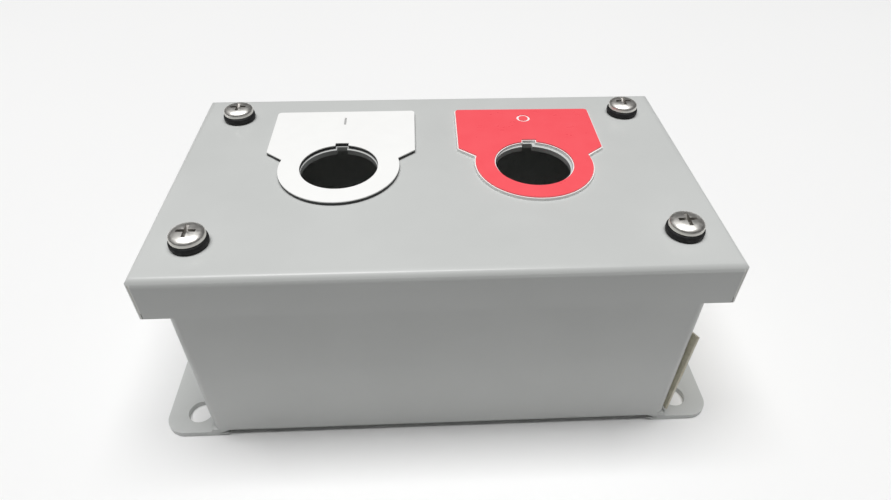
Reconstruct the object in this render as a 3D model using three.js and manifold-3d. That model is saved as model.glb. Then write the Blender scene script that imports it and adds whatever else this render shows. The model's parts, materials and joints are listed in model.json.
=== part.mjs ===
// Two-position push-button station enclosure: a welded sheet-steel box on two bent feet, a lift-off
// cover on a foam gasket, four captive cover screws and a two-ply legend plate at each operator hole.
// Millimetres. +Z up, +X to the right along the box, +Y to the back. The origin is on the surface that
// the feet stand on, under the middle of the cover.
import * as THREE from 'three';
import { mergeVertices } from 'three/addons/utils/BufferGeometryUtils.js';
import Module from 'manifold-3d';

const wasm = await Module();
wasm.setup();

// ---- Box ----
const boxWidth = 144;            // outside, end plate to end plate
const boxDepth = 81.5;           // outside, front wall to back wall
const rimHeight = 67.6;          // floor to the top of the rim
const boxSheet = 1.9;
const boxCorner = 3;             // outside radius of the ground vertical corners
const channelBend = 0.6;         // inside radius between a wall and the bottom
const channelClearance = 1;      // the channel's bottom above the floor
const rimReach = 2.6;            // the rim stands out this far from the walls
const rimBend = 0.9;             // inside radius of the rim's bend

// ---- Feet ----
const footReach = 15.5;          // end plate to foot tip
const footCorner = 6.5;          // plan radius of the two outer corners
const footBend = 1.3;            // inside radius between the end plate and its foot
const footHole = 7.9;
const footHoleInsetX = 10;       // hole axis back from the foot's tip
const footHoleInsetY = 7.75;     // hole axis in from the foot's front or back edge
const weldReach = 3.2;           // the ground weld under each end of the channel
const weldLift = 0.15;           // the weld is ground clear of the floor
const weldBow = [0.6, 0.45];     // its face bows out through this share of its reach and height

// ---- Cover ----
const skirtGap = 3;              // box wall to the inside of the cover's flanges
const coverSheet = 1.5;
const coverFlange = 14.2;         // outside height of the flanges
const coverBend = 1.3;           // inside radius of the cover's bends
const seamGap = 0.25;            // open seam beside each side flange
const seamWeld = 11;             // the seams are welded this far down from the top
const flangeClip = 1.3;          // clipped lower corners of the side flanges
const coverCorner = 2.2;         // plan radius of the welded and ground corners

// ---- Gasket ----
const gasketThick = 3;
const gasketWidth = 5.2;
const gasketMargin = 0.4;        // clear of the cover's inside bend
const gasketRelief = 0.4;        // clear of the retaining washers
const gasketCorner = 0.8;        // inside radius of the ring's corners

// ---- Operator holes ----
const holeSpacing = 57.15;
const operatorHole = 22.5;
const keyWidth = 3.2;
const keyDepth = 1.65;           // the key notch goes this far beyond the round hole

// ---- Legend plates ----
const legendWidth = 44.7;
const legendTop = 32.4;          // from the hole's axis up to the upper edge
const legendStep = 8.2;          // from the hole's axis up to the lower edge of the wide part
const legendRing = 35.4;         // outside diameter of the round part
const legendShoulder = 3.9;      // the shoulders meet the ring this far above the axis
const legendCorner = 1.2;
const legendHoleGap = 0.2;       // radial, wider than the cover's hole
const legendKeyGap = 0.4;        // each side, wider than the cover's key notch
const legendKeyShort = 0.2;      // the legend's notch stops this much nearer the axis
const legendCore = 0.85;         // thickness of the core sheet
const legendCap = 0.35;          // thickness of the coloured face sheet
const stopBevel = 0.3;           // the red face stops this far inside its core's edges
const engravingDepth = 0.25;
const engravingStroke = 0.7;
const markHeight = 4.4;
const markRise = 26.2;           // from the hole's axis up to the middle of the mark

// ---- Cover screws and their washers ----
const screwInsetX = 6.6;         // screw axis in from the inside of an end plate
const screwInsetY = 7.1;         // screw axis in from the inside of the front or back wall
const screwShank = 4.8;
const screwLength = 12.7;        // under the head
const screwHead = 9.2;
const screwHeadHeight = 2.3;
const screwHeadSide = 0.42;      // share of the head's height that stands straight
const screwHeadEdge = 0.2;       // chamfer under the head's rim
const screwPoint = 0.8;          // chamfer at the end of the shank
const recessWidth = 5;           // across the cross at the top
const recessFloor = 2.2;         // across the cross at its floor
const recessSlot = 1;
const recessDepth = 1.4;
const recessLip = 0.3;           // depth of the slots' outer ends
const coverHoleGap = 0.4;        // radial, round the shank in the cover
const washerOuter = 10;
const washerThick = 2.1;
const retainerOuter = 8;
const retainerThick = 0.8;
const washerEdge = 0.35;         // rounded rim of the sealing washer
const retainerEdge = 0.15;
const retainerDrop = 0.4;        // between the cover's inside face and the retaining washer
const gripGap = 0.05;            // radial, between the shank and its retaining washer
const runningGap = 0.3;          // radial, round the shank in the sealing washer and the collar

// ---- Corner brackets ----
const bracketLength = 14.5;      // along X, in from the end plate
const bracketWidth = 14;         // along Y
const bracketLeg = 15;           // height of the welded leg
const bracketSheet = 1.9;
const bracketBend = 1;           // inside radius
const bracketDrop = 0.6;         // pad below the top of the rim
const bracketCorner = 4;         // plan radius of the pad's free corner
const bracketGap = 0.2;          // between the bracket and the round inside of the box's corner
const collarWall = 1.4;
const collarDepth = 2.4;         // the extruded collar below the pad

// ---- Bonding screw ----
const groundInset = 10;          // axis in from the inside of the left end plate
const groundHead = 8;
const groundHeadHeight = 2.4;
const groundHeadSide = 0.45;     // share of the head's height that stands straight
const groundShank = 4.1;
const groundLength = 4;          // under the head
const groundSlot = 1.2;
const groundSlotDepth = 1.1;
const groundCollarWall = 1.35;
const groundCollarRise = 2.4;    // the collar is extruded up into the box

// ---- Side label ----
const labelDepth = 66;           // along the end plate
const labelHeight = 35;
const labelThick = 0.6;
const labelMargin = 0.2;         // lower edge above the foot's bend
const labelFront = 1.6;          // front edge back from the box's front face
const labelCurl = 6;             // length of the loose front edge
const labelLiftLow = 0.9;        // how far the loose edge stands out, at the bottom
const labelLiftHigh = 1.9;       // and at the top

// ---- Lay of the legend plates: no operator clamps them, so they sit a little off the holes ----
const startLay = { shift: [0, 0.6], degrees: 0 };
const stopLay = { shift: [0.5, 0.7], degrees: -0.7 };

// ---- Derived ----
const insideX = boxWidth / 2 - boxSheet;
const insideY = boxDepth / 2 - boxSheet;
const flangeX = boxWidth / 2 + skirtGap;
const flangeY = boxDepth / 2 + skirtGap;
const coverX = flangeX + coverSheet;
const coverY = flangeY + coverSheet;
const coverUnder = rimHeight + gasketThick;
const coverTop = coverUnder + coverSheet;
const floorInside = channelClearance + boxSheet;
const screwX = insideX - screwInsetX;
const screwY = insideY - screwInsetY;
const headSeat = coverTop + washerThick;
const padTop = rimHeight - bracketDrop;
const tipX = boxWidth / 2 + footReach;
const groundX = -insideX + groundInset;
const groundSeat = floorInside + groundCollarRise;
const farAway = 2 * (tipX + coverTop);
const keyReach = operatorHole / 2 + keyDepth;
const labelBase = boxSheet + footBend + labelMargin;
const panTop = channelClearance + boxSheet + channelBend;
const shankBore = screwShank / 2 + runningGap;
const coverLow = coverTop - coverFlange;

// ---- Fineness ----
const holeSides = 56;            // facets round an operator hole
const discSides = 32;
const smallSides = 24;           // facets round a screw, a washer and their holes
const legendSides = 20;          // facets along each arc of a legend's outline
const headSteps = 4;             // facets up the round of a screw head
const overrun = 1;               // a cutter runs this far past the faces that it cuts

// ---- Geometry helpers ----
const turn = Math.PI * 2;

// A geometry with only positions, its shared vertices merged.
function bare(geometry) {
  const copy = geometry.clone();
  for (const name of Object.keys(copy.attributes)) {
    if (name !== 'position') copy.deleteAttribute(name);
  }
  return mergeVertices(copy, 1e-5);
}

function solid(geometry) {
  const merged = bare(geometry);
  return new wasm.Manifold(new wasm.Mesh({
    numProp: 3,
    vertProperties: Float32Array.from(merged.attributes.position.array),
    triVerts: Uint32Array.from(merged.index.array),
  }));
}

function geometryOf(manifold) {
  const { vertProperties, triVerts } = manifold.getMesh();
  const geometry = new THREE.BufferGeometry();
  geometry.setAttribute('position', new THREE.BufferAttribute(vertProperties, 3));
  geometry.setIndex(new THREE.BufferAttribute(triVerts, 1));
  return geometry;
}

function block(x0, x1, y0, y1, z0, z1) {
  const geometry = new THREE.BoxGeometry(x1 - x0, y1 - y0, z1 - z0);
  geometry.translate((x0 + x1) / 2, (y0 + y1) / 2, (z0 + z1) / 2);
  return solid(geometry);
}

// A plan outline pulled up from z0 to z1.
function plate(shape, z0, z1, curveSegments = smallSides / 2) {
  const options = { depth: z1 - z0, bevelEnabled: false, curveSegments };
  return solid(new THREE.ExtrudeGeometry(shape, options).translate(0, 0, z0));
}

// An outline drawn in X and Z, run along Y from y0 to y1.
function runAlongY(shape, y0, y1) {
  const geometry = new THREE.ExtrudeGeometry(shape, { depth: y1 - y0, bevelEnabled: false });
  return solid(geometry.rotateX(Math.PI / 2).translate(0, y1, 0));
}

// An outline drawn in Y and Z, run along X from x0 to x1.
function runAlongX(shape, x0, x1) {
  const geometry = new THREE.ExtrudeGeometry(shape, { depth: x1 - x0, bevelEnabled: false });
  return solid(geometry.rotateZ(Math.PI / 2).rotateY(Math.PI / 2).translate(x0, 0, 0));
}

function disc(radius, x, y, z0, z1, sides = discSides) {
  const geometry = new THREE.CylinderGeometry(radius, radius, z1 - z0, sides);
  return solid(geometry.rotateX(Math.PI / 2).translate(x, y, (z0 + z1) / 2));
}

// A profile of [radius, z] points turned about a vertical axis.
function revolve(profile, x, y, sides = smallSides) {
  const points = profile.map(([radius, z]) => new THREE.Vector2(radius, z));
  return new THREE.LatheGeometry(points, sides).rotateX(Math.PI / 2).translate(x, y, 0);
}

function roundedRectangle(halfX, halfY, radius) {
  const shape = new THREE.Shape();
  shape.moveTo(halfX - radius, -halfY);
  shape.absarc(halfX - radius, -halfY + radius, radius, -turn / 4, 0);
  shape.absarc(halfX - radius, halfY - radius, radius, 0, turn / 4);
  shape.absarc(-halfX + radius, halfY - radius, radius, turn / 4, turn / 2);
  shape.absarc(-halfX + radius, -halfY + radius, radius, turn / 2, 0.75 * turn);
  return shape;
}

// The same geometry on the other side of the YZ or XZ plane, its faces still pointing out.
function mirrored(geometry, signX, signY) {
  const copy = bare(geometry).scale(signX, signY, 1);
  if (signX * signY < 0) copy.index.array.reverse();
  return copy;
}

// A closed profile of [offset, z] points, counter-clockwise, carried round a rounded rectangle.
// The offset is measured outwards from the rectangle, and its corners grow and shrink with it.
function carryRound(profile, halfX, halfY, corner, cornerSteps = 6) {
  const centres = [[1, -1], [1, 1], [-1, 1], [-1, -1]];
  const plan = centres.flatMap(([signX, signY], quarter) =>
    Array.from({ length: cornerSteps + 1 }, (_, step) => {
      const angle = (turn / 4) * (quarter - 1 + step / cornerSteps);
      return { x: signX * (halfX - corner), y: signY * (halfY - corner), angle };
    }));
  const positions = profile.flatMap(([offset, z]) => plan.flatMap(({ x, y, angle }) =>
    [x + (corner + offset) * Math.cos(angle), y + (corner + offset) * Math.sin(angle), z]));
  const triangles = [];
  for (let row = 0; row < profile.length; row += 1) {
    for (let column = 0; column < plan.length; column += 1) {
      const nextRow = ((row + 1) % profile.length) * plan.length;
      const nextColumn = (column + 1) % plan.length;
      const [a, b] = [row * plan.length + column, row * plan.length + nextColumn];
      const [c, d] = [nextRow + column, nextRow + nextColumn];
      triangles.push(a, b, d, a, d, c);
    }
  }
  const geometry = new THREE.BufferGeometry();
  geometry.setAttribute('position', new THREE.Float32BufferAttribute(positions, 3));
  geometry.setIndex(triangles);
  return solid(geometry);
}

// Points on an arc, as [first, second] pairs, from one angle to another in quarter turns.
function arc(centreA, centreB, radius, fromQuarter, toQuarter, steps = 6) {
  return Array.from({ length: steps + 1 }, (_, step) => {
    const angle = (turn / 4) * (fromQuarter + (toQuarter - fromQuarter) * (step / steps));
    return [centreA + radius * Math.cos(angle), centreB + radius * Math.sin(angle)];
  });
}

function join(first, ...others) {
  return others.reduce((sum, next) => sum.add(next), first);
}

function cut(first, ...others) {
  return others.reduce((rest, next) => rest.subtract(next), first);
}

function outline(points) {
  return new THREE.Shape(points.map(([a, b]) => new THREE.Vector2(a, b)));
}

// ---- Materials ----
function finish(color, roughness, metalness = 0) {
  return new THREE.MeshStandardMaterial({ color, roughness, metalness });
}

const greyPaint = finish(0xb4b6b3, 0.42);
const zincPlate = finish(0xc9c8c4, 0.28, 0.9);
const blackRubber = finish(0x17181a, 0.7);
const foam = finish(0x2a2b2d, 0.95);
const nylon = finish(0xd9d6cb, 0.5);
const whitePlastic = finish(0xf6f6f4, 0.3);
const blackPlastic = finish(0x141414, 0.45);
const redPlastic = finish(0xe62e3c, 0.32);
const greenPlate = finish(0x2f8a4a, 0.4, 0.3);
const creamPaper = finish(0xe6dfc8, 0.85);

const station = new THREE.Group();

function add(name, geometry, material, parent = station) {
  const mesh = new THREE.Mesh(geometry, material);
  mesh.name = name;
  parent.add(mesh);
}

// ---- Box ----

// The four walls and the turned-out rim, from the height given up to the rim.
function wallRing(base) {
  const bendHeight = rimHeight - boxSheet - rimBend;
  return carryRound([
    [0, base],
    ...arc(rimBend, bendHeight, rimBend, 2, 1),
    [rimReach, rimHeight - boxSheet],
    [rimReach, rimHeight],
    ...arc(rimBend, bendHeight, rimBend + boxSheet, 1, 2),
    [-boxSheet, base],
  ], boxWidth / 2, boxDepth / 2, boxCorner);
}

// The bottom of the U and its two bends, up to where the walls begin.
function channelPan() {
  const side = insideY - channelBend;
  const outer = channelBend + boxSheet;
  const pan = outline([
    ...arc(-side, panTop, outer, 2, 3),
    ...arc(side, panTop, outer, 3, 4),
    ...arc(side, panTop, channelBend, 4, 3),
    ...arc(-side, panTop, channelBend, 3, 2),
  ]);
  return runAlongX(pan, -insideX, insideX);
}

function bodyChannel() {
  const walls = wallRing(panTop)
    .intersect(block(-insideX, insideX, -farAway, farAway, 0, farAway));
  const plan = plate(roundedRectangle(boxWidth / 2, boxDepth / 2, boxCorner), 0, rimHeight);
  const pan = channelPan().intersect(plan);
  const bore = groundShank / 2 + runningGap;
  const collar = disc(bore + groundCollarWall, groundX, 0, floorInside - boxSheet / 2, groundSeat);
  const hole = disc(bore, groundX, 0, 0, farAway);
  return geometryOf(cut(join(walls, pan, collar), hole));
}

// The right end plate's lower part: foot, bend, and the weld ground flush under the channel.
function footProfile() {
  const face = boxWidth / 2;
  const shape = outline([
    [tipX, 0],
    [tipX, boxSheet],
    ...arc(face + footBend, boxSheet + footBend, footBend, 3, 2),
    [insideX, boxSheet + footBend],
    [insideX, channelClearance],
    [insideX - weldReach, channelClearance],
    [insideX - weldReach * weldBow[0], channelClearance * weldBow[1]],
    [insideX, weldLift],
    [insideX + footBend + boxSheet, 0],
  ]);
  const mask = plate(roundedRectangle(tipX, boxDepth / 2, footCorner), 0, rimHeight);
  return runAlongY(shape, -boxDepth / 2, boxDepth / 2).intersect(mask);
}

function rightEndPlate() {
  const wall = wallRing(boxSheet + footBend)
    .intersect(block(insideX, farAway, -farAway, farAway, 0, farAway));
  const holes = [-1, 1].map((side) => disc(footHole / 2, tipX - footHoleInsetX,
    side * (boxDepth / 2 - footHoleInsetY), -boxSheet, 2 * boxSheet));
  return geometryOf(cut(join(wall, footProfile()), ...holes));
}

// The bracket of the back right corner.
function cornerBracket() {
  const bendA = bracketSheet + bracketBend;
  const bendB = padTop - bendA;
  const profile = outline([
    [0, padTop - bracketLeg],
    [bracketSheet, padTop - bracketLeg],
    ...arc(bendA, bendB, bracketBend, 2, 1),
    [bracketLength, padTop - bracketSheet],
    [bracketLength, padTop],
    ...arc(bendA, bendB, bendA, 1, 2),
  ].map(([inward, z]) => [insideX - inward, z]));
  const wallSide = insideY - (boxCorner - boxSheet) - bracketGap;
  const bent = runAlongY(profile, wallSide - bracketWidth, wallSide);
  const rounded = roundedRectangle(bracketLength, bracketWidth / 2, bracketCorner);
  const mask = new THREE.ExtrudeGeometry(rounded, { depth: farAway, bevelEnabled: false });
  mask.translate(insideX, wallSide - bracketWidth / 2, 0);
  const collar = disc(shankBore + collarWall, screwX, screwY,
    padTop - bracketSheet - collarDepth, padTop - bracketSheet / 2);
  const hole = disc(shankBore, screwX, screwY, 0, farAway, smallSides);
  return geometryOf(cut(join(bent.intersect(solid(mask)), collar), hole));
}

// The side and the round top of a pan head, from its rim up to its middle.
function panHead(radius, seat, height, sideShare) {
  const side = seat + height * sideShare;
  const squareness = 0.7;
  const round = Array.from({ length: headSteps }, (_, step) => {
    const angle = (turn / 4) * (step / headSteps);
    return [
      radius * Math.cos(angle) ** squareness,
      side + (seat + height - side) * Math.sin(angle),
    ];
  });
  return [...round, [0, seat + height]];
}

function groundScrew() {
  const radius = groundHead / 2;
  const end = groundSeat - groundLength;
  const profile = [
    [0, end],
    [groundShank / 2, end],
    [groundShank / 2, groundSeat],
    [radius, groundSeat],
    ...panHead(radius, groundSeat, groundHeadHeight, groundHeadSide),
  ];
  const top = groundSeat + groundHeadHeight;
  const slot = block(groundX - radius, groundX + radius, -groundSlot / 2, groundSlot / 2,
    top - groundSlotDepth, top + overrun);
  return geometryOf(cut(solid(revolve(profile, groundX, 0)), slot));
}

// A thin label on the right end plate, with its front edge curling away, more at the top.
function sideLabel() {
  const front = -boxDepth / 2 + labelFront;
  const steps = [0, 0.2, 0.4, 0.6, 0.8, 1].map((share) => share * labelCurl).concat(labelDepth);
  const corner = (along, high, face) => {
    const lift = high ? labelLiftHigh : labelLiftLow;
    const loose = Math.max(0, 1 - along / labelCurl);
    return [
      boxWidth / 2 + lift * loose * loose + face * labelThick,
      front + along,
      labelBase + high * labelHeight,
    ];
  };
  const ring = (along) => [[0, 0], [0, 1], [1, 1], [1, 0]]
    .flatMap(([high, face]) => corner(along, high, face));
  const triangles = [0, 1, 2, 0, 2, 3];
  for (let step = 0; step < steps.length - 1; step += 1) {
    for (let side = 0; side < 4; side += 1) {
      const [a, b] = [step * 4 + side, step * 4 + ((side + 1) % 4)];
      triangles.push(a, a + 4, b + 4, a, b + 4, b);
    }
  }
  const last = (steps.length - 1) * 4;
  triangles.push(last, last + 2, last + 1, last, last + 3, last + 2);
  const geometry = new THREE.BufferGeometry();
  geometry.setAttribute('position', new THREE.Float32BufferAttribute(steps.flatMap(ring), 3));
  geometry.setIndex(triangles);
  return geometry;
}

// ---- Cover ----

// A block with the cover's rounded top edges, all the way round.
function roundTopped(halfX, halfY, low, high, radius) {
  const section = (half) => outline([
    [half, low],
    ...arc(half - radius, high - radius, radius, 0, 1),
    ...arc(radius - half, high - radius, radius, 1, 2),
    [-half, low],
  ]);
  const across = runAlongY(section(halfX), -halfY, halfY);
  return across.intersect(runAlongX(section(halfY), -halfX, halfX));
}

function keyedHole(x, y, diameter, keyAcross, keyLength, low, high) {
  const round = disc(diameter / 2, x, y, low, high, holeSides);
  return round.add(block(x - keyAcross / 2, x + keyAcross / 2, y, y + keyLength, low, high));
}

// Beside each side flange an open seam runs up to the weld at the cover's corner.
function coverSeams() {
  return [-1, 1].flatMap((sideX) => [-1, 1].map((sideY) => {
    const [x0, x1] = [sideX * (flangeX - seamGap), sideX * flangeX].sort((a, b) => a - b);
    const [y0, y1] = [sideY * (flangeY - overrun), sideY * (coverY + overrun)]
      .sort((a, b) => a - b);
    return block(x0, x1, y0, y1, coverLow - overrun, coverTop - seamWeld);
  }));
}

function coverClips() {
  return [-1, 1].map((sideY) => {
    const clip = outline([
      [sideY * (coverY - flangeClip), coverLow - overrun],
      [sideY * (coverY - flangeClip), coverLow],
      [sideY * coverY, coverLow + flangeClip],
      [sideY * (coverY + overrun), coverLow + flangeClip],
      [sideY * (coverY + overrun), coverLow - overrun],
    ]);
    return runAlongX(clip, -coverX - overrun, coverX + overrun);
  });
}

function coverPan() {
  const outer = roundTopped(coverX, coverY, coverLow, coverTop, coverBend + coverSheet);
  const inner = roundTopped(flangeX, flangeY, coverLow - overrun, coverUnder, coverBend);
  const operatorHoles = [-1, 1].map((side) => keyedHole(side * holeSpacing / 2, 0,
    operatorHole, keyWidth, keyReach, coverUnder - overrun, coverTop + overrun));
  const screwHoles = corners.map(([signX, signY]) =>
    disc(screwShank / 2 + coverHoleGap, signX * screwX, signY * screwY,
      coverUnder - overrun, coverTop + overrun, smallSides));
  const pan = cut(outer, inner, ...operatorHoles, ...screwHoles);
  const ground = plate(roundedRectangle(coverX, coverY, coverCorner),
    coverLow - overrun, coverTop + overrun);
  return geometryOf(cut(pan.intersect(ground), ...coverSeams(), ...coverClips()));
}

function coverGasket() {
  const margin = coverBend + gasketMargin;
  const ring = carryRound([
    [0, rimHeight],
    [0, coverUnder],
    [-gasketWidth, coverUnder],
    [-gasketWidth, rimHeight],
  ], flangeX - margin, flangeY - margin, gasketWidth + gasketCorner);
  const reliefs = corners.map(([signX, signY]) => disc(retainerOuter / 2 + gasketRelief,
    signX * screwX, signY * screwY, rimHeight - overrun, coverUnder + overrun));
  return geometryOf(cut(ring, ...reliefs));
}

// ---- Screws and washers, drawn at the back right corner and mirrored ----

function crossRecess(x, y, top) {
  const wing = outline([
    [-recessWidth / 2, top + overrun],
    [-recessWidth / 2, top - recessLip],
    [-recessFloor / 2, top - recessDepth],
    [recessFloor / 2, top - recessDepth],
    [recessWidth / 2, top - recessLip],
    [recessWidth / 2, top + overrun],
  ]);
  const alongX = runAlongY(wing, -recessSlot / 2, recessSlot / 2);
  const alongY = runAlongX(wing, -recessSlot / 2, recessSlot / 2);
  return alongX.add(alongY).translate([x, y, 0]);
}

function coverScrew() {
  const shank = screwShank / 2;
  const head = screwHead / 2;
  const end = headSeat - screwLength;
  const profile = [
    [0, end],
    [shank - screwPoint, end],
    [shank, end + screwPoint],
    [shank, headSeat],
    [head - screwHeadEdge, headSeat],
    [head, headSeat + screwHeadEdge],
    ...panHead(head, headSeat, screwHeadHeight, screwHeadSide),
  ];
  const turned = solid(revolve(profile, screwX, screwY, discSides));
  return geometryOf(cut(turned, crossRecess(screwX, screwY, headSeat + screwHeadHeight)));
}

function washer(inner, outer, low, high, edge) {
  return revolve([
    [inner, low],
    [outer - edge, low],
    [outer, low + edge],
    [outer, high - edge],
    [outer - edge, high],
    [inner, high],
    [inner, low],
  ], screwX, screwY);
}

// ---- Legend plates, drawn about the axis of their hole ----

function legendOutline(inset) {
  const half = legendWidth / 2 - inset;
  const upper = legendTop - inset;
  const step = legendStep + inset;
  const ring = legendRing / 2 - inset;
  const meet = Math.asin((legendShoulder + inset) / ring);
  const shape = new THREE.Shape();
  shape.moveTo(-half, step);
  shape.lineTo(-half, upper - legendCorner);
  shape.absarc(legendCorner - half, upper - legendCorner, legendCorner, turn / 2, turn / 4, true);
  shape.absarc(half - legendCorner, upper - legendCorner, legendCorner, turn / 4, 0, true);
  shape.lineTo(half, step);
  shape.absarc(0, 0, ring, meet, turn / 2 - meet, true);
  return shape;
}

// One sheet of a legend, all its edges drawn in by the inset.
function legendSheet(low, high, inset) {
  const hole = keyedHole(0, 0, operatorHole + 2 * (legendHoleGap + inset),
    keyWidth + 2 * (legendKeyGap + inset), keyReach - legendKeyShort + inset,
    low - overrun, high + overrun);
  return cut(plate(legendOutline(inset), low, high, legendSides), hole);
}

function barMark() {
  const low = legendCore + legendCap - engravingDepth;
  return block(-engravingStroke / 2, engravingStroke / 2,
    markRise - markHeight / 2, markRise + markHeight / 2, low, low + overrun);
}

function ringMark() {
  const low = legendCore + legendCap - engravingDepth;
  const outer = disc(markHeight / 2, 0, markRise, low, low + overrun);
  const inner = disc(markHeight / 2 - engravingStroke, 0, markRise,
    low - overrun, low + 2 * overrun);
  return cut(outer, inner);
}

function addLegend(prefix, place, lay, bevel, mark, capMaterial, coreMaterial) {
  const group = new THREE.Group();
  group.position.set(place + lay.shift[0], lay.shift[1], coverTop);
  group.rotation.z = THREE.MathUtils.degToRad(lay.degrees);
  station.add(group);
  add(`${prefix}_legend_core`, geometryOf(legendSheet(0, legendCore, 0)), coreMaterial, group);
  const cap = cut(legendSheet(legendCore, legendCore + legendCap, bevel), mark);
  add(`${prefix}_legend_cap`, geometryOf(cap), capMaterial, group);
}

// ---- Assembly ----

const corners = [[-1, -1], [1, -1], [-1, 1], [1, 1]];

function cornerName([signX, signY]) {
  return `${signY < 0 ? 'front' : 'back'}_${signX < 0 ? 'left' : 'right'}`;
}

add('body_channel', bodyChannel(), greyPaint);
const endPlate = rightEndPlate();
add('end_plate_right', endPlate, greyPaint);
add('end_plate_left', mirrored(endPlate, -1, 1), greyPaint);
add('ground_screw', groundScrew(), greenPlate);
add('side_label', sideLabel(), creamPaper);
add('cover', coverPan(), greyPaint);
add('cover_gasket', coverGasket(), foam);

const retainerTop = coverUnder - retainerDrop;
const cornerPieces = [
  ['corner_bracket', cornerBracket(), greyPaint],
  ['cover_screw', coverScrew(), zincPlate],
  ['sealing_washer', washer(shankBore, washerOuter / 2, coverTop, headSeat, washerEdge),
    blackRubber],
  ['retaining_washer', washer(screwShank / 2 + gripGap, retainerOuter / 2,
    retainerTop - retainerThick, retainerTop, retainerEdge), nylon],
];
for (const corner of corners) {
  for (const [name, geometry, material] of cornerPieces) {
    add(`${name}_${cornerName(corner)}`, mirrored(geometry, ...corner), material);
  }
}

const holeX = holeSpacing / 2;
addLegend('start', -holeX, startLay, 0, barMark(), whitePlastic, blackPlastic);
addLegend('stop', holeX, stopLay, stopBevel, ringMark(), redPlastic, whitePlastic);

export default station;
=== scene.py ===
"""The looks of a two-position push-button station enclosure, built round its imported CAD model.

Metres, in the CAD's own frame: +Z up, the origin on the floor under the middle of the cover.
"""
import json
import math

import bmesh
import bpy
from mathutils import Matrix, Vector


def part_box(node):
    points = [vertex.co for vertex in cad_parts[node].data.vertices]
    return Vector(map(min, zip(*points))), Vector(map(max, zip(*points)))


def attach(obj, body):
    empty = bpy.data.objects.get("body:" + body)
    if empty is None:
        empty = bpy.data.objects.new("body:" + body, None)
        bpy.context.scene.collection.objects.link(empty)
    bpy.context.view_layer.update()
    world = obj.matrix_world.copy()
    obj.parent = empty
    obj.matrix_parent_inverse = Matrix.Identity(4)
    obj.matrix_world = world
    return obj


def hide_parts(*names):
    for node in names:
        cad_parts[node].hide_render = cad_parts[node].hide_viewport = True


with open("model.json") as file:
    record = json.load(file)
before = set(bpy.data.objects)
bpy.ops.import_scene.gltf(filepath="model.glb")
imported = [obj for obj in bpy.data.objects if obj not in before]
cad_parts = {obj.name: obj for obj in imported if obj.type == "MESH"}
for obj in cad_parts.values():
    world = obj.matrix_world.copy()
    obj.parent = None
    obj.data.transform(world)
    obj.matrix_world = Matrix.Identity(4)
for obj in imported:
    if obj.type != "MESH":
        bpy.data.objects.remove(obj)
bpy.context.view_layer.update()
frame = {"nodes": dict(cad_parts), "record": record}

MM = 0.001

# ---- Camera: where it stands, and how it is turned ----
CAMERA_PLACE = Vector((-5.293, -153.88, 174.69)) * MM
CAMERA_YAW = 3.054               # degrees, to the right of +Y
CAMERA_DOWN = 41.13              # degrees, below the horizon
CAMERA_ROLL = 0.596
CAMERA_LENS = 25.115             # on a 36 mm sensor

# ---- Floor and lights, in metres and watts ----
PAINTED_FLOOR_SHADE = (-0.32, -0.09)      # along Y: painted shade on the floor, grey at the first place, white from the second
PAINTED_FLOOR_SHADE_SHARE = 0.8
LAMP_PLACE = (-0.1, 0, 2.6)
LAMP_SIZE = (2.3, 1.0)
LAMP_POWER = 73
CARD_PLACE = (-0.5, 0.1, 1.5)
CARD_SIZE = (2.6, 2.6)
CARD_POWER = 5
WORLD_STRENGTH = 0.05

# ---- Edges and bends ----
SHARP_ANGLE = math.radians(38)   # steeper edges are real edges, flatter ones are facets of a bend
SHEET_EDGE = 0.22 * MM           # rounding of a sheared sheet edge
PLASTIC_EDGE = 0.12 * MM
METAL_EDGE = 0.12 * MM
BEVEL_STEPS = 3
FLAT_ANGLE = math.radians(0.6)   # faces closer to one plane than this are one face
SAME_PLACE = 0.002 * MM          # corners closer than this are one corner
NORMAL_WEIGHT = 60               # 50 is neutral; above it, large faces set the shading
SEAM_TOLERANCE = 0.02 * MM
CHANNEL_ROUND = 2.5 * MM         # outside radius between the channel's walls and its bottom

# ---- Welds ----
WALL_Y = 40.75 * MM              # the box's front and back faces, out from the middle
WELD_REACH = 3.2 * MM            # how far a fill runs along the channel
WELD_ROOT = 0.3 * MM             # how deep it is bedded in the sheet
WELD_SINK = 0.05 * MM            # how far its thin end dips under the channel's surface
WELD_SQUARENESS = 0.85           # 0 follows the channel's round edge, 1 is a sharp corner
WELD_STEPS = 10
COVER_SEAM = 74.9 * MM           # the cover's corner seams, out from the middle
COVER_FRONT = 44.9 * MM          # only the cover's front and back faces lie beyond this

# ---- Screws and washers ----
THREAD_PITCH = 25.4 / 32 * MM
THREAD_DEPTH = 0.42 * MM
THREAD_SIDES = 48
THREAD_ROWS = 8                  # along one turn of the thread
THREAD_BEDDED = 0.3 * MM         # how far the shank runs up into the head
POINT_START = 0.62               # share of the full thickness at the shank's very end
POINT_TURNS = 2.2                # turns of the thread in which that share would grow by 1
RECESS_REACH = 2.2 * MM          # the cross recess, out from the axis
RECESS_LIP = 0.45 * MM           # and down from the top of the head
TURNED_SIDES = 96
ROUND_STEPS = 6
RUBBER_ROUND = 0.75 * MM
NYLON_ROUND = 0.25 * MM

# ---- Legends ----
MARK_SINK = 0.1 * MM             # a face this far under the sheet's top is the floor of a mark

NODES = frame["nodes"]
BODY_OF = {node: body for body, nodes in frame["record"]["behaviour"]["bodies"].items()
           for node in nodes}
CORNERS = ["front_left", "front_right", "back_left", "back_right"]


# ---------------------------------------------------------------- material building blocks

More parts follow.
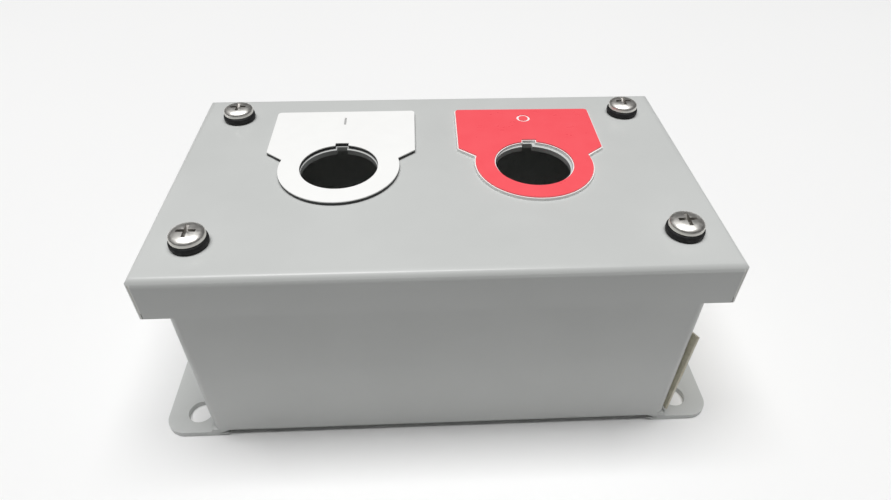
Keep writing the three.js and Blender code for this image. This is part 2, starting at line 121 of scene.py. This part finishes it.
class Paint:
    """A Principled material and short ways to add nodes to it."""

    def __init__(self, name, base, roughness, metallic=0.0, specular=0.5):
        self.material = bpy.data.materials.new(name)
        self.material.use_nodes = True
        self.tree = self.material.node_tree
        self.shader = self.tree.nodes["Principled BSDF"]
        self.shader.inputs["Base Color"].default_value = (*base, 1)
        self.shader.inputs["Roughness"].default_value = roughness
        self.shader.inputs["Metallic"].default_value = metallic
        self.shader.inputs["Specular IOR Level"].default_value = specular
        self.place = self.add("ShaderNodeTexCoord").outputs["Object"]
        self.relief = None

    def add(self, kind, **settings):
        node = self.tree.nodes.new(kind)
        for key, value in settings.items():
            setattr(node, key, value)
        return node

    def link(self, source, target):
        self.tree.links.new(source, target)

    def stretched(self, scale):
        mapping = self.add("ShaderNodeMapping")
        mapping.inputs["Scale"].default_value = scale
        self.link(self.place, mapping.inputs["Vector"])
        return mapping.outputs["Vector"]

    def noise(self, size, detail=3.0, rough=0.55, stretch=None, bend=0.0):
        """Noise whose lumps are about `size` metres across."""
        node = self.add("ShaderNodeTexNoise")
        node.inputs["Scale"].default_value = 1 / size
        node.inputs["Detail"].default_value = detail
        node.inputs["Roughness"].default_value = rough
        node.inputs["Distortion"].default_value = bend
        self.link(self.stretched(stretch) if stretch else self.place, node.inputs["Vector"])
        return node.outputs["Fac"]

    def span(self, source, low, high, out_low=0.0, out_high=1.0):
        """The part of a value between low and high, spread from out_low to out_high."""
        node = self.add("ShaderNodeMapRange")
        for socket, value in zip(("From Min", "From Max", "To Min", "To Max"),
                                 (low, high, out_low, out_high)):
            node.inputs[socket].default_value = value
        self.link(source, node.inputs["Value"])
        return node.outputs["Result"]

    def maths(self, operation, first, second):
        node = self.add("ShaderNodeMath", operation=operation)
        for socket, value in zip(node.inputs, (first, second)):
            if isinstance(value, (int, float)):
                socket.default_value = value
            else:
                self.link(value, socket)
        return node.outputs[0]

    def mix(self, share, first, second):
        node = self.add("ShaderNodeMix", data_type="RGBA")
        for socket, value in ((node.inputs[6], first), (node.inputs[7], second)):
            if isinstance(value, tuple):
                socket.default_value = (*value, 1)
            else:
                self.link(value, socket)
        self.link(share, node.inputs[0])
        return node.outputs[2]

    def colour(self, output):
        self.link(output, self.shader.inputs["Base Color"])

    def roughness(self, output):
        self.link(output, self.shader.inputs["Roughness"])

    def bump(self, height, cell_depth_and_shade):
        """Adds a relief whose height value of 1 stands `cell_depth_and_shade` metres proud."""
        node = self.add("ShaderNodeBump")
        node.inputs["Distance"].default_value = cell_depth_and_shade
        node.inputs["Strength"].default_value = 1
        self.link(height, node.inputs["Height"])
        if self.relief is not None:
            self.link(self.relief, node.inputs["Normal"])
        self.relief = node.outputs["Normal"]
        self.link(self.relief, self.shader.inputs["Normal"])

    def axes(self):
        """The distances from the middle planes along X and Y."""
        split = self.add("ShaderNodeSeparateXYZ")
        self.link(self.place, split.inputs[0])
        return [self.maths("ABSOLUTE", split.outputs[axis], 0) for axis in ("X", "Y")]


# ---------------------------------------------------------------- materials

def seam_masks(paint):
    """Where the cover's corner seams are, for a bead with a painted highlight along it, and the strips
    outside them.
    """
    across, along = paint.axes()
    facing = paint.span(along, COVER_FRONT, COVER_FRONT + 0.1 * MM)
    off = paint.maths("ABSOLUTE", paint.maths("SUBTRACT", across, COVER_SEAM), 0)
    seam_bead_and_highlight = paint.span(off, 0.12 * MM, 0.34 * MM, 1, 0)
    outside = paint.span(across, COVER_SEAM, COVER_SEAM + 0.15 * MM)
    return paint.maths("MULTIPLY", seam_bead_and_highlight, facing), paint.maths("MULTIPLY", outside, facing)


def grey_enamel():
    """Smooth satin enamel on sheet steel: slight clouding, faint rub marks, filled weld seams with a
    painted highlight along each seam's bead.
    """
    paint = Paint("grey_enamel", (0.60, 0.61, 0.60), 0.33)
    clouds = paint.span(paint.noise(38 * MM, 4), 0.3, 0.7)
    base = paint.mix(clouds, (0.582, 0.594, 0.582), (0.612, 0.624, 0.612))
    patches = paint.span(paint.noise(26 * MM, 2), 0.5, 0.62)
    rubs = paint.span(paint.noise(1.6 * MM, 5, 0.6, stretch=(1, 0.12, 0.3), bend=0.4), 0.68, 0.8, 0, 0.3)
    base = paint.mix(paint.maths("MULTIPLY", rubs, patches), base, (0.68, 0.69, 0.68))
    specks = paint.span(paint.noise(0.9 * MM, 2, 0.5), 0.76, 0.8, 0, 0.35)
    base = paint.mix(paint.maths("MULTIPLY", specks, patches), base, (0.38, 0.38, 0.37))
    seam_bead_and_highlight, outside = seam_masks(paint)
    base = paint.mix(paint.maths("MULTIPLY", outside, 0.8), base, (0.49, 0.475, 0.41))
    # painted highlight: the seam is coloured lighter than the paint; its bead relief is the bump below
    paint.colour(paint.mix(paint.maths("MULTIPLY", seam_bead_and_highlight, 0.75), base, (0.78, 0.78, 0.76)))
    paint.roughness(paint.span(paint.noise(9 * MM, 4), 0.3, 0.7, 0.28, 0.38))
    paint.bump(paint.noise(2.2 * MM, 2, 0.45), 0.01 * MM)
    paint.bump(seam_bead_and_highlight, 0.06 * MM)
    return paint.material


def nickel_plating(name, dark, light, roughness):
    """Warm plated steel, dulled to a satin."""
    paint = Paint(name, light, roughness, metallic=1.0)
    tone = paint.span(paint.noise(2.4 * MM, 3, 0.5), 0.3, 0.7)
    paint.colour(paint.mix(tone, dark, light))
    paint.roughness(paint.span(paint.noise(1.1 * MM, 4, 0.6), 0.3, 0.7, roughness - 0.06, roughness + 0.06))
    paint.bump(paint.noise(1.2 * MM, 2, 0.5), 0.003 * MM)
    return paint.material


def black_rubber():
    paint = Paint("black_rubber", (0.016, 0.016, 0.017), 0.62, specular=0.35)
    dust = paint.span(paint.noise(1.1 * MM, 4, 0.6), 0.5, 0.75, 0, 0.5)
    paint.colour(paint.mix(dust, (0.012, 0.012, 0.013), (0.05, 0.05, 0.052)))
    paint.roughness(paint.span(paint.noise(0.8 * MM, 3), 0.3, 0.7, 0.5, 0.75))
    paint.bump(paint.noise(0.25 * MM, 2), 0.01 * MM)
    return paint.material


def foam():
    """Closed-cell black foam: small round cells over a soft skin, their hollows painted darker as shade."""
    paint = Paint("foam", (0.02, 0.02, 0.021), 0.95, specular=0.2)
    cells = paint.add("ShaderNodeTexVoronoi")
    cells.inputs["Scale"].default_value = 1 / (0.55 * MM)
    paint.link(paint.place, cells.inputs["Vector"])
    cell_depth_and_shade = paint.span(cells.outputs["Distance"], 0.05, 0.5)
    # painted shade: the colour darkens into each cell's hollow, following the same depth as the bump
    paint.colour(paint.mix(cell_depth_and_shade, (0.008, 0.008, 0.008), (0.035, 0.035, 0.037)))
    paint.roughness(paint.span(paint.noise(2 * MM), 0.3, 0.7, 0.85, 1.0))
    paint.bump(cell_depth_and_shade, 0.08 * MM)
    return paint.material


def nylon():
    paint = Paint("nylon", (0.72, 0.70, 0.63), 0.45)
    paint.shader.inputs["Subsurface Weight"].default_value = 0.25
    paint.shader.inputs["Subsurface Scale"].default_value = 0.4 * MM
    tone = paint.span(paint.noise(2.5 * MM, 3), 0.3, 0.7)
    paint.colour(paint.mix(tone, (0.68, 0.66, 0.58), (0.76, 0.74, 0.68)))
    paint.roughness(paint.span(paint.noise(0.8 * MM, 3), 0.3, 0.7, 0.38, 0.55))
    paint.bump(paint.noise(0.3 * MM, 2), 0.006 * MM)
    return paint.material


def engraving_stock(name, light, dark, roughness):
    """Two-ply engraving stock: clean and satin, its gloss slightly uneven."""
    paint = Paint(name, light, roughness)
    paint.colour(paint.mix(paint.span(paint.noise(7 * MM, 2), 0.3, 0.7), dark, light))
    paint.roughness(paint.span(paint.noise(4 * MM, 3), 0.3, 0.7, roughness - 0.05, roughness + 0.05))
    return paint.material


def green_plating():
    paint = Paint("green_plating", (0.03, 0.22, 0.06), 0.34, metallic=0.55)
    tone = paint.span(paint.noise(1.2 * MM, 4, 0.6), 0.3, 0.7)
    paint.colour(paint.mix(tone, (0.02, 0.17, 0.045), (0.05, 0.29, 0.09)))
    paint.roughness(paint.span(paint.noise(0.6 * MM, 4), 0.3, 0.7, 0.24, 0.45))
    paint.bump(paint.noise(0.4 * MM, 3), 0.01 * MM)
    return paint.material


def aged_paper():
    """The label's face: off-white paper, yellowed in blotches, with a fibre grain."""
    paint = Paint("aged_paper", (0.76, 0.72, 0.60), 0.85, specular=0.25)
    age = paint.span(paint.noise(12 * MM, 5, 0.6), 0.35, 0.7)
    base = paint.mix(age, (0.80, 0.77, 0.67), (0.66, 0.58, 0.42))
    fibres = paint.span(paint.noise(0.4 * MM, 5, 0.7, stretch=(1, 0.4, 1)), 0.45, 0.7, 0, 0.4)
    paint.colour(paint.mix(fibres, base, (0.88, 0.86, 0.79)))
    paint.roughness(paint.span(paint.noise(3 * MM), 0.3, 0.7, 0.75, 0.92))
    paint.bump(paint.noise(0.5 * MM, 4, 0.7), 0.02 * MM)
    paint.bump(paint.noise(9 * MM, 2), 0.15 * MM)
    return paint.material


def old_adhesive():
    """The label's back: paper stained by dry adhesive."""
    paint = Paint("old_adhesive", (0.72, 0.68, 0.54), 0.6, specular=0.4)
    tone = paint.span(paint.noise(2.2 * MM, 5, 0.65), 0.3, 0.7)
    paint.colour(paint.mix(tone, (0.62, 0.58, 0.44), (0.80, 0.77, 0.63)))
    paint.roughness(paint.span(paint.noise(1.5 * MM, 3), 0.3, 0.7, 0.45, 0.8))
    paint.bump(paint.noise(0.8 * MM, 4), 0.04 * MM)
    return paint.material


def floor_white():
    """Matt white studio paper, its colour painted into grey shade in front of the object."""
    paint = Paint("floor_white", (0.93, 0.93, 0.93), 0.8, specular=0.0)
    tone = paint.span(paint.noise(0.35, 3), 0.3, 0.7)
    base = paint.mix(tone, (0.925, 0.925, 0.922), (0.938, 0.938, 0.935))
    split = paint.add("ShaderNodeSeparateXYZ")
    paint.link(paint.place, split.inputs[0])
    # painted shade: the floor's colour darkens towards grey in front of the object
    painted_shade = paint.span(split.outputs["Y"], *PAINTED_FLOOR_SHADE, PAINTED_FLOOR_SHADE_SHARE, 0)
    paint.colour(paint.mix(painted_shade, base, (0.05, 0.05, 0.05)))
    return paint.material


MATERIALS = {
    "grey_paint": grey_enamel(),
    "screw_plating": nickel_plating("screw_plating", (0.80, 0.78, 0.74), (0.90, 0.88, 0.84), 0.4),
    "washer_rubber": black_rubber(),
    "gasket_foam": foam(),
    "retainer_nylon": nylon(),
    "legend_white": engraving_stock("legend_white", (0.98, 0.98, 0.965), (0.965, 0.965, 0.95), 0.34),
    "legend_black": engraving_stock("legend_black", (0.020, 0.020, 0.021), (0.012, 0.012, 0.013), 0.42),
    "legend_red": engraving_stock("legend_red", (1.0, 0.120, 0.142), (0.985, 0.108, 0.130), 0.32),
    "ground_green": green_plating(),
    "label_paper": aged_paper(),
}
ADHESIVE = old_adhesive()
# painted shade: a darker plating for the faces inside the screws' cross recesses
PAINTED_RECESS_SHADE = nickel_plating("recess_painted_shade", (0.28, 0.27, 0.25), (0.44, 0.42, 0.40), 0.5)
START_MARK = engraving_stock("start_mark", (0.46, 0.46, 0.455), (0.40, 0.40, 0.395), 0.5)
MATERIAL_OF = {
    **{node: "grey_paint" for node in ("body_channel", "end_plate_left", "end_plate_right", "cover")},
    "ground_screw": "ground_green",
    "side_label": "label_paper",
    "cover_gasket": "gasket_foam",
    "start_legend_cap": "legend_white",
    "start_legend_core": "legend_black",
    "stop_legend_cap": "legend_red",
    "stop_legend_core": "legend_white",
    **{"corner_bracket_" + corner: "grey_paint" for corner in CORNERS},
    **{"cover_screw_" + corner: "screw_plating" for corner in CORNERS},
    **{"sealing_washer_" + corner: "washer_rubber" for corner in CORNERS},
    **{"retaining_washer_" + corner: "retainer_nylon" for corner in CORNERS},
}


# ---------------------------------------------------------------- mesh building blocks

def clean_copy(node):
    """A CAD node's shape as a bmesh with shared corners and its flat faces whole again."""
    mesh = bmesh.new()
    mesh.from_mesh(NODES[node].data)
    bmesh.ops.remove_doubles(mesh, verts=mesh.verts, dist=SAME_PLACE)
    bmesh.ops.dissolve_limit(mesh, angle_limit=FLAT_ANGLE, verts=mesh.verts,
                             edges=mesh.edges, delimit=set())
    return mesh


def round_edges(mesh, width, skip=lambda edge: False):
    """Rounds the real edges of a shape, and leaves the facets of its bends."""
    edges = [edge for edge in mesh.edges
             if len(edge.link_faces) == 2
             and edge.calc_face_angle() > SHARP_ANGLE and not skip(edge)]
    bmesh.ops.bevel(mesh, geom=edges, offset=width, offset_type="OFFSET", segments=BEVEL_STEPS,
                    profile=0.5, affect="EDGES", clamp_overlap=True)


def piece_from(mesh, name, material, body, *replaced, second=None):
    """Turns a bmesh into a smooth-shaded piece that rides a body and stands for CAD nodes."""
    data = bpy.data.meshes.new(name)
    bmesh.ops.recalc_face_normals(mesh, faces=mesh.faces)
    for edge in mesh.edges:
        edge.smooth = len(edge.link_faces) == 2 and edge.calc_face_angle() < SHARP_ANGLE
    for face in mesh.faces:
        face.smooth = True
    mesh.to_mesh(data)
    mesh.free()
    data.materials.append(MATERIALS[material])
    if second is not None:
        data.materials.append(second)
    piece = bpy.data.objects.new(name, data)
    bpy.context.scene.collection.objects.link(piece)
    weighted = piece.modifiers.new("face_weighted_normals", "WEIGHTED_NORMAL")
    weighted.keep_sharp = True
    weighted.weight = NORMAL_WEIGHT
    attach(piece, body)
    if replaced:
        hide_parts(*replaced)
    return piece


def refine(node, edge_width, skip=lambda edge: False, second=None, wears_second=None):
    """The CAD node's own shape with its real edges rounded; some faces may wear a second material."""
    mesh = clean_copy(node)
    round_edges(mesh, edge_width, skip)
    if second is not None:
        mesh.normal_update()
        for face in mesh.faces:
            face.material_index = int(wears_second(face))
    return piece_from(mesh, node + "_fine", MATERIAL_OF[node], BODY_OF[node], node, second=second)


def skin(mesh, rows, closed_along):
    """Faces between neighbouring rows of points; each row is a closed loop."""
    rings = [[mesh.verts.new(point) for point in row] for row in rows]
    pairs = list(zip(rings, rings[1:]))
    if closed_along:
        pairs.append((rings[-1], rings[0]))
    for first, second in pairs:
        for index in range(len(first)):
            after = (index + 1) % len(first)
            mesh.faces.new((first[index], first[after], second[after], second[index]))
    return rings


def capped_skin(mesh, rows):
    """A closed solid: the rows' skin, with a face over its first and its last row."""
    rings = skin(mesh, rows, False)
    mesh.faces.new(rings[0])
    mesh.faces.new(rings[-1][::-1])


def on_circle(axis, radius, z, side, sides):
    """The place of one of a number of equal sides round a vertical axis."""
    angle = math.tau * side / sides
    return Vector((axis.x + radius * math.cos(angle), axis.y + radius * math.sin(angle), z))


def around(axis, radius, z, sides):
    """A circle of points about a vertical axis."""
    return [on_circle(axis, radius, z, side, sides) for side in range(sides)]


def ring_sizes(node):
    """Axis, inner and outer radius, lowest and highest level of a washer in the CAD."""
    low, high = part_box(node)
    axis = (Vector(low) + Vector(high)) / 2
    reach = [math.hypot(vert.co.x - axis.x, vert.co.y - axis.y) for vert in NODES[node].data.vertices]
    return axis, min(reach), max(reach), low.z, high.z


def washer(node, edge):
    """A washer turned afresh from its CAD sizes, all four edges rounded."""
    axis, inner, outer, low, high = ring_sizes(node)
    section = []
    for radius, level, start in ((outer - edge, high - edge, 0), (inner + edge, high - edge, 90),
                                 (inner + edge, low + edge, 180), (outer - edge, low + edge, 270)):
        for step in range(ROUND_STEPS + 1):
            angle = math.radians(start + 90 * step / ROUND_STEPS)
            section.append((radius + edge * math.cos(angle), level + edge * math.sin(angle)))
    mesh = bmesh.new()
    skin(mesh, [around(axis, radius, level, TURNED_SIDES) for radius, level in section], True)
    return piece_from(mesh, node + "_fine", MATERIAL_OF[node], BODY_OF[node], node)


# ---------------------------------------------------------------- pieces

SEAM_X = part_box("body_channel")[1].x


def on_ground_seam(edge):
    """The channel and the end plates are welded and ground flush: no edge shows there."""
    return all(abs(abs(vert.co.x) - SEAM_X) < SEAM_TOLERANCE for vert in edge.verts)


def sheet_metal():
    for node in ("body_channel", "end_plate_left", "end_plate_right"):
        refine(node, SHEET_EDGE, on_ground_seam)
    refine("cover", SHEET_EDGE)
    for corner in CORNERS:
        refine("corner_bracket_" + corner, SHEET_EDGE)
        weld_fill(corner)


def weld_fill(corner):
    """Weld metal that squares off the channel's round lower edge where it meets an end plate."""
    low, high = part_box("body_channel")
    side_x = 1 if corner.endswith("right") else -1
    side_y = 1 if corner.startswith("back") else -1
    rows = []
    for step in range(WELD_STEPS + 1):
        part = step / WELD_STEPS
        fullness = math.cos(part * math.pi / 2)
        x = side_x * (high.x - WELD_REACH * part)
        outer, root = [], []
        for turn in range(WELD_STEPS + 1):
            angle = math.pi / 2 * turn / WELD_STEPS
            down, out = math.sin(angle), math.cos(angle)
            square = max(down, out) ** -WELD_SQUARENESS
            reach = CHANNEL_ROUND * (1 + (square - 1) * fullness) - WELD_SINK * (1 - fullness)
            for store, radius in ((outer, reach), (root, CHANNEL_ROUND - WELD_ROOT)):
                store.append(Vector((x, side_y * (WALL_Y - CHANNEL_ROUND + radius * out),
                                     low.z + CHANNEL_ROUND - radius * down)))
        rows.append(outer + root[::-1])
    mesh = bmesh.new()
    capped_skin(mesh, rows)
    return piece_from(mesh, "weld_fill_" + corner, "grey_paint", BODY_OF["body_channel"])


def legends():
    for prefix, mark in (("start", START_MARK), ("stop", MATERIALS["legend_white"])):
        cap = prefix + "_legend_cap"
        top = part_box(cap)[1].z
        refine(prefix + "_legend_core", PLASTIC_EDGE)
        refine(cap, PLASTIC_EDGE, second=mark,
               wears_second=lambda face: face.normal.z > 0.9
               and face.calc_center_median().z < top - MARK_SINK)


def thread_reach(crest, turns, side):
    """Radius of the thread's flank at a height in turns and a place round the shank."""
    phase = (turns - side / THREAD_SIDES) % 1
    return crest - THREAD_DEPTH * (1 - abs(2 * phase - 1))


def cover_screw(corner):
    """The CAD screw's head, on a shank with a real helical thread."""
    node = "cover_screw_" + corner
    low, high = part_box(node)
    axis = (low + high) / 2
    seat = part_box("sealing_washer_" + corner)[1].z
    crest = min(math.hypot(vert.co.x - axis.x, vert.co.y - axis.y)
                for vert in NODES[node].data.vertices if abs(vert.co.z - seat) < SEAM_TOLERANCE)
    mesh = clean_copy(node)
    round_edges(mesh, METAL_EDGE)
    everything = mesh.verts[:] + mesh.edges[:] + mesh.faces[:]
    cut = bmesh.ops.bisect_plane(mesh, geom=everything, plane_co=(0, 0, seat - THREAD_BEDDED / 2),
                                 plane_no=(0, 0, 1), clear_inner=True)
    rim = [item for item in cut["geom_cut"] if isinstance(item, bmesh.types.BMEdge)]
    bmesh.ops.edgeloop_fill(mesh, edges=rim)
    length = seat + THREAD_BEDDED - low.z
    rows = []
    for row in range(int(length / THREAD_PITCH * THREAD_ROWS) + 1):
        z = low.z + row * THREAD_PITCH / THREAD_ROWS
        point = min(1.0, POINT_START + (z - low.z) / (POINT_TURNS * THREAD_PITCH))
        rows.append([on_circle(axis, thread_reach(crest * point, z / THREAD_PITCH, side), z,
                               side, THREAD_SIDES) for side in range(THREAD_SIDES)])
    capped_skin(mesh, rows)
    for face in mesh.faces:
        middle = face.calc_center_median()
        off_axis = math.hypot(middle.x - axis.x, middle.y - axis.y)
        # faces inside the cross recess wear the darker plating, painted shade
        face.material_index = int(off_axis < RECESS_REACH and seat < middle.z < high.z - RECESS_LIP)
    return piece_from(mesh, node + "_fine", MATERIAL_OF[node], BODY_OF[node], node, second=PAINTED_RECESS_SHADE)


def fasteners():
    refine("ground_screw", METAL_EDGE)
    for corner in CORNERS:
        cover_screw(corner)
        washer("sealing_washer_" + corner, RUBBER_ROUND)
        washer("retaining_washer_" + corner, NYLON_ROUND)


def seals_and_label():
    refine("cover_gasket", METAL_EDGE)
    refine("side_label", 0.05 * MM, second=ADHESIVE, wears_second=lambda face: face.normal.x < -0.3)


# ---------------------------------------------------------------- stage, lights, camera

def stage():
    """A pale floor that runs out far past the view."""
    mesh = bmesh.new()
    bmesh.ops.create_grid(mesh, x_segments=2, y_segments=2, size=4)
    data = bpy.data.meshes.new("floor")
    mesh.to_mesh(data)
    mesh.free()
    data.materials.append(floor_white())
    floor = bpy.data.objects.new("floor", data)
    floor.location.z = -0.02 * MM
    bpy.context.scene.collection.objects.link(floor)


def area_light(name, place, target, size, watts):
    data = bpy.data.lights.new(name, "AREA")
    data.shape = "RECTANGLE"
    data.size, data.size_y = size
    data.energy = watts
    light = bpy.data.objects.new(name, data)
    light.location = place
    light.rotation_euler = (Vector(target) - Vector(place)).to_track_quat("-Z", "Y").to_euler()
    bpy.context.scene.collection.objects.link(light)
    return light


def lights():
    world = bpy.data.worlds.new("studio")
    bpy.context.scene.world = world
    world.use_nodes = True
    background = world.node_tree.nodes["Background"]
    background.inputs["Color"].default_value = (1, 1, 1, 1)
    background.inputs["Strength"].default_value = WORLD_STRENGTH
    area_light("overhead", LAMP_PLACE, (LAMP_PLACE[0], LAMP_PLACE[1], 0), LAMP_SIZE, LAMP_POWER)
    card = area_light("reflection_card", CARD_PLACE, (0, 0, 0), CARD_SIZE, CARD_POWER)
    card.visible_diffuse = False
    bpy.context.scene.view_settings.view_transform = "Standard"


def camera():
    data = bpy.data.cameras.new("camera")
    data.lens = CAMERA_LENS
    data.sensor_width = 36
    data.clip_start, data.clip_end = 0.005, 20
    eye = bpy.data.objects.new("camera", data)
    yaw, down, roll = (math.radians(angle) for angle in (CAMERA_YAW, CAMERA_DOWN, CAMERA_ROLL))
    turned = (Matrix.Rotation(-yaw, 4, "Z") @ Matrix.Rotation(math.pi / 2 - down, 4, "X")
              @ Matrix.Rotation(roll, 4, "Z"))
    eye.matrix_world = Matrix.Translation(CAMERA_PLACE) @ turned
    bpy.context.scene.collection.objects.link(eye)
    bpy.context.scene.camera = eye


sheet_metal()
legends()
fasteners()
seals_and_label()
stage()
lights()
camera()
